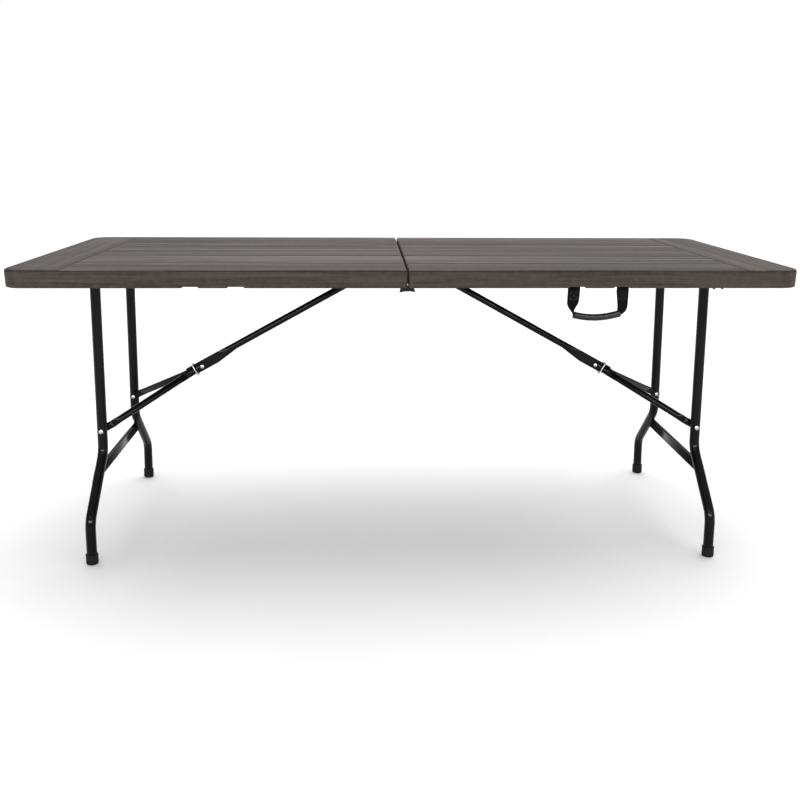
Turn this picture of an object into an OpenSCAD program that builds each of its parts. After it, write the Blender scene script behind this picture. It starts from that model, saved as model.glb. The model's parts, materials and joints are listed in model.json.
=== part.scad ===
// Fold-in-half table: two blow-moulded top halves, steel side rails, two folding leg frames,
// two jointed braces with lock rings, two centre hinges and a webbing carry handle.
// Millimetres. +X along the table, -Y the handle side, +Z up. Origin on the floor, under the middle.

/* [Table top] */
// Whole length of the open table
top_length = 1800; // [1700:10:1900]
// Depth of the table top
top_depth = 740; // [720:5:800]
// Height of the top above the floor
top_height = 740; // [730:2:760]
// Height of the moulded edge
edge_height = 41; // [38:1:48]
// Plan radius of the four outer corners
corner_r = 45; // [25:5:70]
// Rounding of the upper edge
edge_r = 7; // [4:1:9]
// Thickness of the moulded rim wall
rim_wall = 10; // [8:1:12]
// Gap between the two halves when open
seam_gap = 2.5; // [1:0.5:5]

/* [Leg frames] */
// Diameter of the leg tubes
leg_d = 25; // [22:1:26]
// Wall thickness of the steel tubes
tube_wall = 1.2; // [1:0.1:1.6]
// Distance of the leg pivot from the middle of the table
pivot_x = 752; // [740:1:770]
// Depth of the leg pivot below the table surface
pivot_drop = 28; // [27:1:29]
// Outward lean of the legs
leg_lean = 2.23; // [1.5:0.1:3]
// Half the distance between the upper legs
leg_y = 165; // [155:1:175]
// Half the distance between the feet
foot_y = 302; // [290:1:303]
// Height where the legs start to spread
crank_top_z = 246; // [236:2:256]
// Height where the legs are vertical again
crank_low_z = 110.5; // [100:0.5:120]
// Height of the rivets that hold the braces
leg_rivet_z = 303.5; // [298:0.5:310]
// Height of the crossbar
crossbar_z = 197; // [192:1:216]

/* [Braces] */
// Diameter of the brace tubes
brace_d = 18; // [16:1:19]
// Distance of the brace bracket pin from the middle of the table
brace_pin_x = 24; // [22:1:28]
// Depth of the brace bracket pin below the table surface
brace_pin_drop = 28; // [27:0.5:29]
// Height of the elbow above the leg rivet when folded flat
folded_elbow_rise = 3; // [2:0.5:3]
// Height of the flattened elbow tongue
tongue_h = 27.5; // [26:0.5:28]

/* [Handle] */
// Distance from the middle of the table to the middle of the handle
handle_x = 434; // [420:1:450]
// Width of the webbing
strap_w = 28; // [22:1:30]
// Distance between the middles of the two straps
strap_pitch = 112; // [108:1:114]

/* [Hidden] */
$fn = 48;

// Colours
moulded_brown = "#756b66";
frame_black = "#242224";
webbing_black = "#1b1a1c";
rubber_black = "#2b292a";
zinc = "#c9c9c6";

// Table top
half_len = top_length / 2;
half_depth = top_depth / 2;
panel_bottom = top_height - edge_height;
seam_x = seam_gap / 2;
skin = 4;                          // moulded upper skin
deck_h = 12;                       // skin and moulded ribs together
deck_bottom = top_height - deck_h;
pocket_gap = 10;                   // width of the ribs between the moulded pockets
rail_band = 52;                    // width of the flat band that a rail is screwed to
brace_channel = 32;                // half width of the flat channel over the braces
channel_top = top_height - 5;      // ceiling of the channels over the braces and the seam beam
notch_h = 3;                       // strap notches in the lower edge

// Side rails, open channels of folded steel
rail_out = 348;
rail_in = 328;
rail_h = 24;
rail_t = 1.5;
rail_top = deck_bottom;
rail_bottom = rail_top - rail_h;
rail_start = seam_x + rim_wall + 1;
rail_end = half_len - rim_wall - 14;
rail_screw_x = [90, 330, 600, 845];
screw_d = 4.5;
screw_len = 9;

// Leg pivot
pivot_z = top_height - pivot_drop;
pivot_d = 22;
pivot_fit = 0.05;                  // running fit of the pivot tube in its brackets
bracket_t = 3;
bracket_half = 20;

// Leg path, measured down the leg from the pivot
function down_leg(z) = (pivot_z - z) / cos(leg_lean);
leg_floor = down_leg(0);
crank_top = down_leg(crank_top_z);
crank_low = down_leg(crank_low_z);
crank_angle = atan2(foot_y - leg_y, crank_low - crank_top);
bend_r = 55;
bend_cut = bend_r * tan(crank_angle / 2);
bend_steps = 6;
bar_sides = 24;
cap_d = 30;
cap_h = 26;
cap_base = 4;
rivet_down = down_leg(leg_rivet_z);
crossbar_down = down_leg(crossbar_z);
crossbar_w = 32;
crossbar_t = 10;
crossbar_out = 8;                  // crossbar axis outside the leg axis, clear of the folded brace

// Brace linkage, in the XZ plane of one half
pin_z = top_height - brace_pin_drop;
rivet_x = pivot_x + rivet_down * sin(leg_lean);
rivet_z = leg_rivet_z;
link_sum = norm([rivet_x - brace_pin_x, pin_z - rivet_z]);
brace_angle = atan2(pin_z - rivet_z, rivet_x - brace_pin_x);
folded_rivet_x = pivot_x - rivet_down;
fold_centre = (brace_pin_x + folded_rivet_x) / 2;
fold_minor = sqrt(pow(link_sum, 2) - pow(folded_rivet_x - brace_pin_x, 2)) / 2;
folded_elbow_x = fold_centre + link_sum / 2 * sqrt(1 - pow(folded_elbow_rise / fold_minor, 2));
upper_len = norm([folded_elbow_x - brace_pin_x, folded_elbow_rise]);
lower_len = link_sum - upper_len;

// Upper brace
brace_rise = 6;                    // tube axis above the line between its two pins
pin_d = 8;
eye_r = 9.5;
eye_t = 8;
tongue_t = 5;
tongue_back = 44;                  // flat length on the tube side of the elbow
tongue_taper = 62;                 // length over which the flat end turns into the round tube
tongue_front = 46;                 // flat length on the leg side of the elbow
tongue_mid = brace_rise + brace_d / 2 - tongue_h / 2 + 0.5;
elbow_rivet_d = 6;
run_fit = 0.06;
drain_d = 3;                       // drain hole into each closed tube

// Lower arms
arm_t = 3;
arm_h = 19;
arm_gap = 0.25;
arm_in = tongue_t / 2 + arm_gap;
arm_elbow_y = arm_in + arm_t / 2;
arm_end_gap = 0.7;                 // open pivot: clearance between arm and leg
arm_end_y = leg_y - leg_d / 2 - arm_end_gap - arm_t / 2;
arm_straight = 28;
arm_end_flat = 22;
arm_run = lower_len - arm_straight - arm_end_flat;
arm_rise = arm_end_y - arm_elbow_y;
arm_splay = atan2(arm_rise, arm_run);
arm_slant = norm([arm_run, arm_rise]);
arm_flat_out = 26;                 // flattened length past the inner bend
arm_blend = 22;

// Lock ring
ring_at = 20;                      // past the elbow rivet, on the leg side
ring_wire = 3.5;
ring_in_h = tongue_h + 1.6;
ring_in_w = 19.6;

// Centre hinges
hinge_z = 694;
hinge_y = 338;
hinge_pin_d = 8;
lug_t = 3;
lug_gap = 0.25;
lug_round = 6.5;
leaf_base_t = 3;
leaf_len = 60;

// Seam beam and brace bracket
beam_out = 36;
beam_h = 11;
beam_top = top_height - 6;
ear_t = 3;
ear_gap = 0.4;
ear_r = 9;

// Handle
strap_t = 2;
strap_axis_y = -357.5;
strap_axis_z = 700;
grip_len = 108;
grip_r = 9;
grip_sag = 8;
grip_mid_z = 630.5;
grip_arc_r = (pow(grip_len / 2, 2) + pow(grip_sag, 2)) / (2 * grip_sag);
grip_arc = asin(grip_len / 2 / grip_arc_r);
strap_notch = [364, 403];
strap_notch_outer = [466, 504];
tab_z = [703, 724];
plate_z = [707, 721];
bumper_x = [698, 717];

module left() mirror([1, 0, 0]) children();

module back() mirror([0, 1, 0]) children();

module both_sides() {
    children();
    back() children();
}

module tube_y(r, y0, y1) translate([0, y1, 0]) rotate([90, 0, 0]) cylinder(r = r, h = y1 - y0);

// ---- Table top ----

module square_outline(inset, outer_r) {
    x0 = seam_x + inset;
    x1 = half_len - inset;
    y = half_depth - inset;
    difference() {
        translate([x0, -y]) square([x1 - x0, 2 * y]);
        for (s = [-1, 1]) {
            translate([x1 - outer_r, s * (y - outer_r)]) difference() {
                translate([0, s > 0 ? 0 : -outer_r]) square(outer_r + 1);
                circle(r = outer_r);
            }
        }
    }
}

module edge_bar(a, b) {
    v = b - a;
    translate(a) rotate([0, 90, atan2(v.y, v.x)]) cylinder(r = edge_r, h = norm(v));
}

module rounded_edge() {
    x0 = seam_x + edge_r;
    x1 = half_len - edge_r;
    y = half_depth - edge_r;
    xc = half_len - corner_r;
    yc = half_depth - corner_r;
    translate([0, 0, top_height - edge_r]) {
        for (s = [-1, 1]) {
            edge_bar([x0, s * y, 0], [xc, s * y, 0]);
            translate([x0, s * y, 0]) sphere(r = edge_r);
            translate([xc, s * yc, 0]) rotate([0, 0, s > 0 ? 0 : -90])
                rotate_extrude(angle = 90) translate([corner_r - edge_r, 0]) circle(r = edge_r);
        }
        edge_bar([x1, -yc, 0], [x1, yc, 0]);
        edge_bar([x0, -y, 0], [x0, y, 0]);
    }
}

module pocket(w, d) {
    r = 12;
    translate([r, r]) square([w - 2 * r, d - 2 * r]);
    translate([0, r]) square([w, d - 2 * r]);
    translate([r, 0]) square([w - 2 * r, d]);
    for (x = [r, w - r]) {
        for (y = [r, d - r]) translate([x, y]) circle(r = r, $fn = 24);
    }
}

module pocket_field() {
    cols = 8;
    rows = 5;
    x0 = 50;
    x1 = half_len - rim_wall - 8;
    y0 = brace_channel + pocket_gap;
    y1 = half_depth - rim_wall - rail_band;
    w = (x1 - x0 + pocket_gap) / cols - pocket_gap;
    d = (y1 - y0 + pocket_gap) / rows - pocket_gap;
    for (i = [0 : cols - 1]) {
        for (j = [0 : rows - 1]) {
            translate([x0 + i * (w + pocket_gap), y0 + j * (d + pocket_gap)]) pocket(w, d);
        }
    }
}

module rail_screw_points() {
    for (x = rail_screw_x) translate([x, (rail_in + rail_out) / 2, 0]) children();
}

module top_half() {
    channel_h = channel_top - deck_bottom + 1;
    difference() {
        union() {
            translate([0, 0, panel_bottom]) linear_extrude(edge_height - edge_r)
                square_rounded();
            translate([0, 0, top_height - edge_r]) linear_extrude(edge_r)
                square_outline(edge_r, corner_r - edge_r);
            rounded_edge();
        }
        translate([0, 0, panel_bottom - 1]) linear_extrude(edge_height - deck_h + 1)
            square_outline(rim_wall, corner_r - rim_wall);
        translate([0, 0, deck_bottom - 1]) linear_extrude(deck_h - skin + 1) {
            pocket_field();
            mirror([0, 1]) pocket_field();
        }
        translate([rail_start - 1, -brace_channel, deck_bottom - 1])
            cube([half_len - rim_wall - rail_start - 20, 2 * brace_channel, channel_h]);
        translate([rail_start - 1, -rail_in, deck_bottom - 1])
            cube([beam_out + 3 - rail_start, 2 * rail_in, channel_h]);
        for (n = [strap_notch, strap_notch_outer]) {
            translate([n[0], -half_depth - 1, panel_bottom - 1])
                cube([n[1] - n[0], rim_wall + 2, notch_h + 1]);
        }
        both_sides() {
            translate([0, hinge_y - 7, panel_bottom - 1]) cube([rim_wall + 2, 14, 5]);
            rail_screw_points() translate([0, 0, deck_bottom - 1])
                cylinder(d = screw_d + 0.1, h = screw_len, $fn = 24);
        }
    }
}

module square_rounded() {
    difference() {
        square_outline(0, corner_r);
        for (s = [-1, 1]) {
            translate([seam_x + edge_r, s * (half_depth - edge_r)]) difference() {
                translate([-edge_r - 1, s > 0 ? 0 : -edge_r - 1]) square(edge_r + 1);
                circle(r = edge_r);
            }
        }
    }
}

module left_top_panel() color(moulded_brown) left() top_half();

module right_top_panel() color(moulded_brown) top_half();

// ---- Rails, seam beam, brackets and their screws ----

module side_rail() {
    w = rail_out - rail_in;
    difference() {
        translate([rail_start, rail_in, rail_bottom]) cube([rail_end - rail_start, w, rail_h]);
        translate([rail_start - 1, rail_in + rail_t, rail_bottom + rail_t])
            cube([rail_end - rail_start + 2, w, rail_h - 2 * rail_t]);
        rail_screw_points() {
            translate([0, 0, rail_top - 2 * rail_t])
                cylinder(d = screw_d + 0.1, h = 3 * rail_t, $fn = 24);
            translate([0, 0, rail_bottom - 1]) cylinder(d = 12, h = 3 * rail_t);
        }
        leaf_screw_points() translate([0, 0, rail_bottom - 1])
            cylinder(d = screw_d + 0.1, h = 4 * rail_t, $fn = 24);
    }
}

module left_front_rail() color(frame_black) left() back() side_rail();

module left_back_rail() color(frame_black) left() side_rail();

module right_front_rail() color(frame_black) back() side_rail();

module right_back_rail() color(frame_black) side_rail();

module pan_screw(len) {
    cylinder(d = screw_d, h = len, $fn = 24);
    translate([0, 0, -2.4]) cylinder(d1 = 6, d2 = 9, h = 2.4, $fn = 24);
}

module rail_screws() {
    both_sides() {
        rail_screw_points() translate([0, 0, rail_top - rail_t]) pan_screw(screw_len - 1);
        leaf_screw_points() translate([0, 0, rail_bottom - leaf_base_t])
            pan_screw(leaf_base_t + 2.5 * rail_t);
    }
}

module left_rail_screws() color(zinc) left() rail_screws();

module right_rail_screws() color(zinc) rail_screws();

module seam_beam() {
    w = 2 * rail_in - 1;
    difference() {
        translate([rail_start, -w / 2, beam_top - beam_h])
            cube([beam_out - rail_start, w, beam_h]);
        translate([rail_start + rail_t, -w / 2 - 1, beam_top - beam_h + rail_t])
            cube([beam_out - rail_start - 2 * rail_t, w + 2, beam_h]);
    }
}

module left_seam_beam() color(frame_black) left() seam_beam();

module right_seam_beam() color(frame_black) seam_beam();

module bracket_ear(y0) {
    top = beam_top - beam_h;
    translate([0, y0 + ear_t, 0]) rotate([90, 0, 0]) linear_extrude(ear_t) {
        translate([brace_pin_x, pin_z]) circle(r = ear_r);
        translate([brace_pin_x - ear_r, pin_z]) square([2 * ear_r, top - pin_z]);
    }
}

module brace_bracket() {
    y0 = eye_t / 2 + ear_gap;
    difference() {
        union() {
            bracket_ear(y0);
            bracket_ear(-y0 - ear_t);
        }
        translate([brace_pin_x, 0, pin_z]) tube_y(pin_d / 2, -20, 20);
    }
}

module left_brace_bracket() color(frame_black) left() brace_bracket();

module right_brace_bracket() color(frame_black) brace_bracket();

module brace_pin() {
    y = eye_t / 2 + ear_gap + ear_t;
    translate([brace_pin_x, 0, pin_z]) {
        tube_y(pin_d / 2, -y, y);
        both_sides() translate([0, y + 2, 0]) rotate([90, 0, 0]) cylinder(d1 = 9, d2 = 12, h = 2);
    }
}

module left_brace_pin() color(zinc) left() brace_pin();

module right_brace_pin() color(zinc) brace_pin();

module pivot_bracket() {
    y1 = rail_in;
    difference() {
        translate([pivot_x, y1, 0]) rotate([90, 0, 0]) linear_extrude(bracket_t) {
            translate([0, pivot_z]) circle(r = bracket_half - 5);
            translate([-bracket_half, pivot_z]) square([2 * bracket_half, rail_top - pivot_z - 1]);
        }
        translate([pivot_x, 0, pivot_z]) tube_y(pivot_d / 2 + pivot_fit, 300, 360);
    }
}

module left_pivot_brackets() color(frame_black) left() both_sides() pivot_bracket();

module right_pivot_brackets() color(frame_black) both_sides() pivot_bracket();

// ---- Centre hinges ----

module leaf_screw_points() {
    for (x = [39, 53]) translate([x, (rail_in + rail_out) / 2, 0]) children();
}

module hinge_lug(y0) {
    top = rail_bottom - leaf_base_t;
    translate([0, y0 + lug_t, 0]) rotate([90, 0, 0]) linear_extrude(lug_t) {
        translate([0, hinge_z]) circle(r = lug_round);
        polygon([
            [2, hinge_z + lug_round - 1], [rail_start + 1, top], [32, top], [15, hinge_z + 3.5],
            [18, hinge_z - 8.6], [5, hinge_z - 6], [0, hinge_z - 5]
        ]);
    }
}

module hinge_leaf(lug_rows) {
    base = rail_bottom - leaf_base_t;
    difference() {
        union() {
            translate([rail_start, rail_in, base])
                cube([leaf_len - rail_start, rail_out - rail_in, leaf_base_t]);
            for (y = lug_rows) hinge_lug(y);
        }
        leaf_screw_points() translate([0, 0, base - 1])
            cylinder(d = screw_d + 0.1, h = leaf_base_t + 2, $fn = 24);
        translate([0, 0, hinge_z]) tube_y(hinge_pin_d / 2 + run_fit, hinge_y - 20, hinge_y + 20);
    }
}

module single_leaf() hinge_leaf([hinge_y - lug_t / 2]);

module fork_leaf() {
    hinge_leaf([hinge_y - lug_t * 1.5 - lug_gap, hinge_y + lug_t / 2 + lug_gap]);
}

module left_front_hinge_leaf() color(frame_black) left() back() fork_leaf();

module left_back_hinge_leaf() color(frame_black) left() fork_leaf();

module right_front_hinge_leaf() color(frame_black) back() single_leaf();

module right_back_hinge_leaf() color(frame_black) single_leaf();

module hinge_pin() {
    y = lug_t * 1.5 + lug_gap;
    translate([0, hinge_y, hinge_z]) {
        tube_y(hinge_pin_d / 2, -y - 1, y + 1);
        both_sides() translate([0, y + 2.5, 0]) rotate([90, 0, 0])
            cylinder(d1 = 9, d2 = 11, h = 2.4);
    }
}

module front_hinge_pin() color(frame_black) back() hinge_pin();

module back_hinge_pin() color(frame_black) hinge_pin();

// ---- Leg frames ----

// Local leg frame: origin at the pivot, X down the leg, Y across, Z outward
module on_leg() {
    translate([pivot_x, 0, pivot_z]) rotate([0, 90 - leg_lean, 0]) children();
}

module run_x(r, len) rotate([0, 90, 0]) cylinder(r = r, h = len);

// Stations along the bent leg: distance down the leg, distance across, heading
function leg_stations(start, end) = concat(
    [[start, leg_y, 0]],
    [for (k = [0 : bend_steps]) let (h = crank_angle * k / bend_steps)
        [crank_top - bend_cut + bend_r * sin(h), leg_y + bend_r * (1 - cos(h)), h]],
    [for (k = [0 : bend_steps]) let (h = crank_angle * (1 - k / bend_steps))
        [crank_low + bend_cut - bend_r * sin(h), foot_y - bend_r * (1 - cos(h)), h]],
    [[end, foot_y, 0]]
);

function ring_points(s, r) = [
    for (i = [0 : bar_sides - 1]) let (t = 360 * i / bar_sides)
        [s.x - r * cos(t) * sin(s.z), s.y + r * cos(t) * cos(s.z), r * sin(t)]
];

// Skin between rings m and m + 1 of a stack whose first point is number base
function skin_quads(base, rings, flip) = [
    for (m = [0 : rings - 2], i = [0 : bar_sides - 1])
        let (j = (i + 1) % bar_sides, a = base + m * bar_sides, b = a + bar_sides)
            flip ? [a + j, a + i, b + i, b + j] : [a + i, a + j, b + j, b + i]
];

function skin_triangles(rings) = [
    for (m = [0 : rings - 2], i = [0 : bar_sides - 1])
        let (j = (i + 1) % bar_sides, a = m * bar_sides, b = a + bar_sides)
            each [[a + i, a + j, b + j], [a + i, b + j, b + i]]
];

function end_quads(outer, inner, flip) = [
    for (i = [0 : bar_sides - 1]) let (j = (i + 1) % bar_sides)
        flip ? [outer + j, outer + i, inner + i, inner + j] : [outer + i, outer + j, inner + j, inner + i]
];

module leg_pipe(r, bore, start, end) {
    stations = leg_stations(start, end);
    rings = len(stations);
    inner = rings * bar_sides;
    last = (rings - 1) * bar_sides;
    points = [for (radius = [r, bore], s = stations) each ring_points(s, radius)];
    faces = concat(
        skin_quads(0, rings, false), skin_quads(inner, rings, true),
        end_quads(0, inner, true), end_quads(last, inner + last, false)
    );
    polyhedron(points = points, faces = faces, convexity = 6);
}

module back_leg() {
    on_leg() difference() {
        leg_pipe(leg_d / 2, leg_d / 2 - tube_wall, 0, leg_floor - cap_base - 2);
        tube_y(pivot_d / 2, 0, leg_y + 50);
        translate([rivet_down, 0, 0]) tube_y(elbow_rivet_d / 2, leg_y - 40, leg_y + 40);
    }
}

module left_front_leg() color(frame_black) left() back() back_leg();

module left_back_leg() color(frame_black) left() back_leg();

module right_front_leg() color(frame_black) back() back_leg();

module right_back_leg() color(frame_black) back_leg();

module pivot_tube() {
    y = rail_in - 0.5;
    translate([pivot_x, 0, pivot_z]) difference() {
        tube_y(pivot_d / 2, -y, y);
        tube_y(pivot_d / 2 - 1.5, -y - 1, y + 1);
    }
}

module left_pivot_tube() color(frame_black) left() pivot_tube();

module right_pivot_tube() color(frame_black) pivot_tube();

module crossbar_profile(w, t) {
    square([w - t, t], center = true);
    for (s = [-1, 1]) translate([s * (w - t) / 2, 0]) circle(d = t);
}

module crossbar() {
    reach = 245;
    on_leg() difference() {
        translate([crossbar_down, reach, crossbar_out]) rotate([90, 0, 0])
            linear_extrude(2 * reach) difference() {
                crossbar_profile(crossbar_w, crossbar_t);
                crossbar_profile(crossbar_w - 2 * tube_wall, crossbar_t - 2 * tube_wall);
            }
        both_sides() {
            translate([crank_top, leg_y, 0]) rotate([0, 0, crank_angle]) {
                translate([-60, 0, 0]) run_x(leg_d / 2, 200);
                translate([-60, 2, -20]) cube([200, 60, 60]);
            }
        }
    }
}

module left_crossbar() color(frame_black) left() crossbar();

module right_crossbar() color(frame_black) crossbar();

module foot_cap() {
    difference() {
        on_leg() translate([leg_floor - cap_h, foot_y, 0]) difference() {
            run_x(cap_d / 2, cap_h + 4);
            translate([-1, 0, 0]) run_x(leg_d / 2, cap_h - cap_base - 1);
        }
        translate([pivot_x, foot_y - 50, -20]) cube([100, 100, 20]);
    }
}

module left_front_foot_cap() color(rubber_black) left() back() foot_cap();

module left_back_foot_cap() color(rubber_black) left() foot_cap();

module right_front_foot_cap() color(rubber_black) back() foot_cap();

module right_back_foot_cap() color(rubber_black) foot_cap();

module leg_rivets() {
    outer = leg_y + leg_d / 2;
    on_leg() both_sides() translate([rivet_down, 0, 0]) {
        tube_y(elbow_rivet_d / 2, leg_y - leg_d / 2 + 0.2, outer);
        translate([0, outer + 2.4, 0]) rotate([90, 0, 0]) cylinder(d1 = 7, d2 = 12, h = 2.4);
    }
}

module left_leg_rivets() color(zinc) left() leg_rivets();

module right_leg_rivets() color(zinc) leg_rivets();

// ---- Braces ----

// Local brace frame: origin at the bracket pin, X toward the leg rivet, Z up
module on_brace() {
    translate([brace_pin_x, 0, pin_z]) rotate([0, brace_angle, 0]) children();
}

module plate_y(t) translate([0, t / 2, 0]) rotate([90, 0, 0]) linear_extrude(t) children();

// A flattened section is a circle of radius r cut to half thickness w. Station: x, y, z, heading, r, w.
function flat_ring(s) = [
    for (i = [0 : bar_sides - 1])
        let (t = 360 * i / bar_sides, a = max(-s[5], min(s[5], s[4] * cos(t))))
            [s.x - a * sin(s[3]), s.y + a * cos(s[3]), s.z + s[4] * sin(t)]
];

module flattened_bar(stations) {
    rings = len(stations);
    last = (rings - 1) * bar_sides;
    hub = rings * bar_sides;
    ends = [for (s = [stations[0], stations[rings - 1]]) [s.x, s.y, s.z]];
    points = concat([for (s = stations) each flat_ring(s)], ends);
    caps = [
        for (i = [0 : bar_sides - 1]) let (j = (i + 1) % bar_sides)
            each [[hub, j, i], [hub + 1, last + i, last + j]]
    ];
    polyhedron(points = points, faces = concat(skin_triangles(rings), caps), convexity = 6);
}

// Rounds the end of a flat bar to radius r about a pin at x, with side 1 for the far end
module round_end(x, r, side) {
    translate([x, 0, 0]) difference() {
        translate([side > 0 ? 0 : -2 * r, -200, -2 * r]) cube([2 * r, 400, 4 * r]);
        tube_y(r, -210, 210);
    }
}

// Drain hole through the middle of a lower facet
module drain(r) {
    rotate([180 / bar_sides, 0, 0]) translate([8.5, 0, -r - 2]) cylinder(d = drain_d, h = r);
}

module upper_brace() {
    tube_from = 30;
    tube_to = upper_len - tongue_back - tongue_taper;
    tongue_end = upper_len + tongue_front;
    tongue_top = tongue_mid + tongue_h / 2;
    tube_r = brace_d / 2;
    on_brace() difference() {
        flattened_bar([
            [-eye_r - 2, 0, 0, 0, eye_r, eye_t / 2],
            [beam_out - brace_pin_x, 0, 1, 0, eye_r, eye_t / 2],
            [tube_from, 0, brace_rise, 0, tube_r, tube_r],
            [tube_to, 0, brace_rise, 0, tube_r, tube_r],
            [upper_len - tongue_back, 0, tongue_mid, 0, tongue_h / 2, tongue_t / 2],
            [tongue_end, 0, tongue_mid, 0, tongue_h / 2, tongue_t / 2]
        ]);
        translate([tube_from + 2, 0, brace_rise]) {
            run_x(tube_r - tube_wall, tube_to - tube_from - 4);
            drain(tube_r);
        }
        round_end(0, eye_r - 0.4, -1);
        tube_y(pin_d / 2 + run_fit, -20, 20);
        translate([upper_len, 0, 0]) tube_y(elbow_rivet_d / 2 + run_fit, -20, 20);
        translate([upper_len + 24, -20, tongue_top - tongue_h - 1]) cube([40, 40, 13]);
        translate([tongue_end - 8, -20, tongue_top - 8]) difference() {
            cube([20, 40, 20]);
            translate([0, -1, 0]) tube_y(8, 0, 60);
        }
    }
}

module left_upper_brace() color(frame_black) left() upper_brace();

module right_upper_brace() color(frame_black) upper_brace();

module back_lower_arm() {
    r = brace_d / 2;
    flat_r = arm_h / 2;
    w = arm_t / 2;
    mitre_w = w / cos(arm_splay / 2);
    mid_w = (r + w) / 2;
    blend_end = arm_flat_out + arm_blend;
    far = arm_slant - 4;
    c = cos(arm_splay);
    d = sin(arm_splay);
    x0 = arm_straight;
    y0 = arm_elbow_y;
    on_brace() translate([upper_len, 0, 0]) difference() {
        flattened_bar([
            [-flat_r - 2, y0, 0, 0, flat_r, w],
            [x0, y0, 0, arm_splay / 2, flat_r, mitre_w],
            for (p = [
                [arm_flat_out, flat_r, w], [arm_flat_out + arm_blend / 2, flat_r, mid_w],
                [blend_end, r, r], [far - arm_blend, r, r],
                [far - arm_blend / 2, flat_r, mid_w], [far, flat_r, w]
            ]) [x0 + p[0] * c, y0 + p[0] * d, 0, arm_splay, p[1], p[2]],
            [lower_len - arm_end_flat, arm_end_y, 0, arm_splay / 2, flat_r, mitre_w],
            [lower_len + flat_r + 2, arm_end_y, 0, 0, flat_r, w]
        ]);
        translate([x0, y0, 0]) rotate([0, 0, arm_splay]) translate([blend_end + 2, 0, 0]) {
            run_x(r - tube_wall, far - arm_blend - blend_end - 4);
            drain(r);
        }
        round_end(0, flat_r - 0.4, -1);
        round_end(lower_len, flat_r - 0.4, 1);
        tube_y(elbow_rivet_d / 2, -20, 20);
        translate([lower_len, 0, 0]) tube_y(elbow_rivet_d / 2, 100, 200);
    }
}

module left_front_lower_arm() color(frame_black) left() back() back_lower_arm();

module left_back_lower_arm() color(frame_black) left() back_lower_arm();

module right_front_lower_arm() color(frame_black) back() back_lower_arm();

module right_back_lower_arm() color(frame_black) back_lower_arm();

module elbow_rivet() {
    y = arm_in + arm_t;
    on_brace() translate([upper_len, 0, 0]) {
        tube_y(elbow_rivet_d / 2, -y, y);
        both_sides() translate([0, y + 2.2, 0]) rotate([90, 0, 0]) cylinder(d1 = 7, d2 = 11, h = 2.2);
    }
}

module left_elbow_rivet() color(zinc) left() elbow_rivet();

module right_elbow_rivet() color(zinc) elbow_rivet();

module arm_rivet_tails() {
    y0 = arm_end_y - arm_t / 2;
    on_brace() both_sides() translate([link_sum, 0, 0]) {
        tube_y(elbow_rivet_d / 2, y0, y0 + arm_t);
        translate([0, y0, 0]) rotate([90, 0, 0]) cylinder(d1 = 11, d2 = 7, h = 2.2);
    }
}

module left_arm_rivet_tails() color(zinc) left() arm_rivet_tails();

module right_arm_rivet_tails() color(zinc) arm_rivet_tails();

module ring_outline(w, h, r) {
    square([w, h - 2 * r], center = true);
    square([w - 2 * r, h], center = true);
    for (x = [-1, 1]) {
        for (y = [-1, 1]) translate([x * (w / 2 - r), y * (h / 2 - r)]) circle(r = r);
    }
}

module lock_ring() {
    on_brace() translate([upper_len + ring_at - ring_wire / 2, 0, tongue_mid])
        rotate([90, 0, 90]) linear_extrude(ring_wire) difference() {
            ring_outline(ring_in_w + 2 * ring_wire, ring_in_h + 2 * ring_wire, 5);
            ring_outline(ring_in_w, ring_in_h, 2);
        }
}

module left_lock_ring() color(zinc) left() lock_ring();

module right_lock_ring() color(zinc) lock_ring();

// ---- Carry handle ----

module grip_solid(r, angle) {
    translate([handle_x, strap_axis_y, grip_mid_z + grip_arc_r]) rotate([90, 0, 0])
        rotate([0, 0, -90 - angle]) rotate_extrude(angle = 2 * angle)
            translate([grip_arc_r, 0]) circle(r = r);
}

module handle_grip() {
    color(webbing_black) difference() {
        grip_solid(grip_r, grip_arc);
        grip_solid(3, grip_arc + 1);
    }
}

module strap_outline() {
    w = strap_w / 2;
    translate([-w, 655]) square([strap_w, strap_axis_z - 655]);
    polygon([[-w, 655], [w, 655], [w + 3, 647], [w + 3, 634], [w - 4, 632], [-w + 6, 640]]);
}

module strap(side) {
    difference() {
        translate([handle_x + side * strap_pitch / 2, strap_axis_y, 0]) mirror([side < 0 ? 0 : 1, 0, 0])
            union() {
                translate([0, strap_t / 2, 0]) rotate([90, 0, 0]) linear_extrude(strap_t)
                    strap_outline();
                translate([-strap_w / 2, 0, strap_axis_z]) run_x(strap_t / 2, strap_w);
            }
        grip_solid(grip_r, grip_arc);
    }
}

module handle_strap_inner() color(webbing_black) strap(-1);

module handle_strap_outer() color(webbing_black) strap(1);

module at_straps() {
    for (s = [-1, 1]) translate([handle_x + s * strap_pitch / 2, -half_depth + rim_wall, 0]) children();
}

module strap_anchor_tabs() {
    color(webbing_black) at_straps() difference() {
        translate([-strap_w / 2, 0, tab_z[0]]) cube([strap_w, 1.8, tab_z[1] - tab_z[0]]);
        anchor_holes();
    }
}

module strap_anchor_plates() {
    color(frame_black) at_straps() difference() {
        translate([-strap_w / 2 - 1, 1.8, plate_z[0]])
            cube([strap_w + 2, 2, plate_z[1] - plate_z[0]]);
        anchor_holes();
    }
}

module anchor_points() {
    for (x = [-7, 7]) translate([x, 0, (plate_z[0] + plate_z[1]) / 2]) children();
}

module anchor_holes() anchor_points() tube_y(2, -1, 10);

module strap_anchor_screws() {
    color(zinc) at_straps() anchor_points() {
        tube_y(2, 0, 3.8);
        translate([0, 5.6, 0]) rotate([90, 0, 0]) cylinder(d1 = 5, d2 = 7.5, h = 1.8, $fn = 24);
    }
}

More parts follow.
